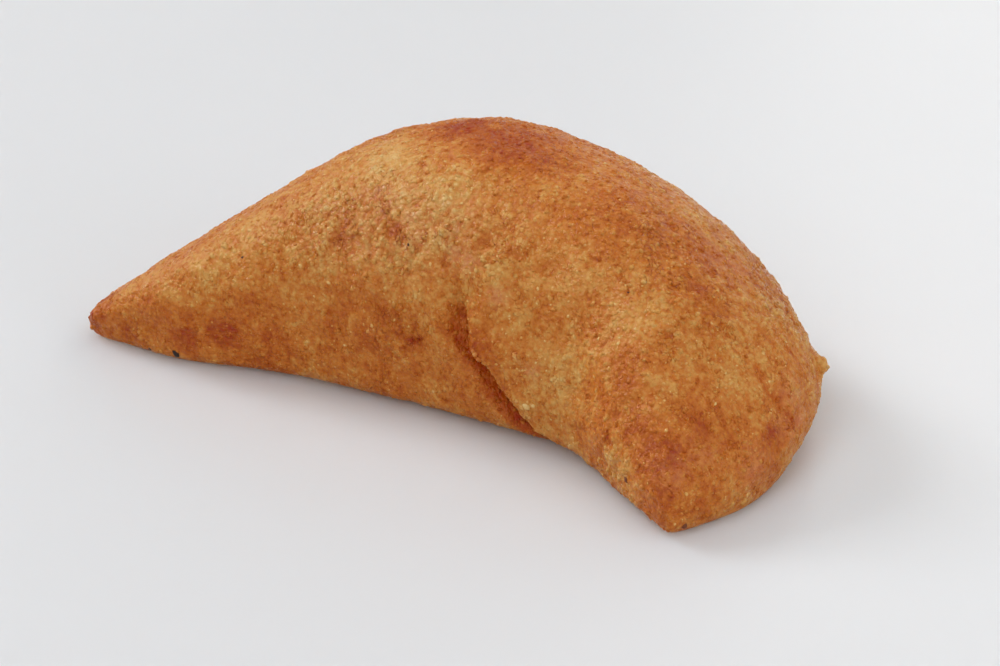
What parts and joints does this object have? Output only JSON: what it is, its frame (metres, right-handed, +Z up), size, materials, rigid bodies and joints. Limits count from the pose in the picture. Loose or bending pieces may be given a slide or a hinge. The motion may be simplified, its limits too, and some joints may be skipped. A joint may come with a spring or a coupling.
{
  "type": "empanada",
  "caption": "Fried half-moon empanada, a filled savoury turnover lying flat, with a thick folded side, a buckle crease and a sealed lip.",
  "frame": {"origin": "centre of the bounding box in plan, on the surface the empanada rests on", "axes": "+X along the length towards the buckled end, +Y from the folded side towards the sealed lip, +Z up"},
  "size_m": [0.1242, 0.067, 0.0402],
  "materials": {
    "fried_crust": "grainy fried corn-dough crust, golden brown, with a faint oily sheen and darker brown patches"
  },
  "bodies": {
    "root": {"empanada": "fried_crust"}
  },
  "joints": []
}
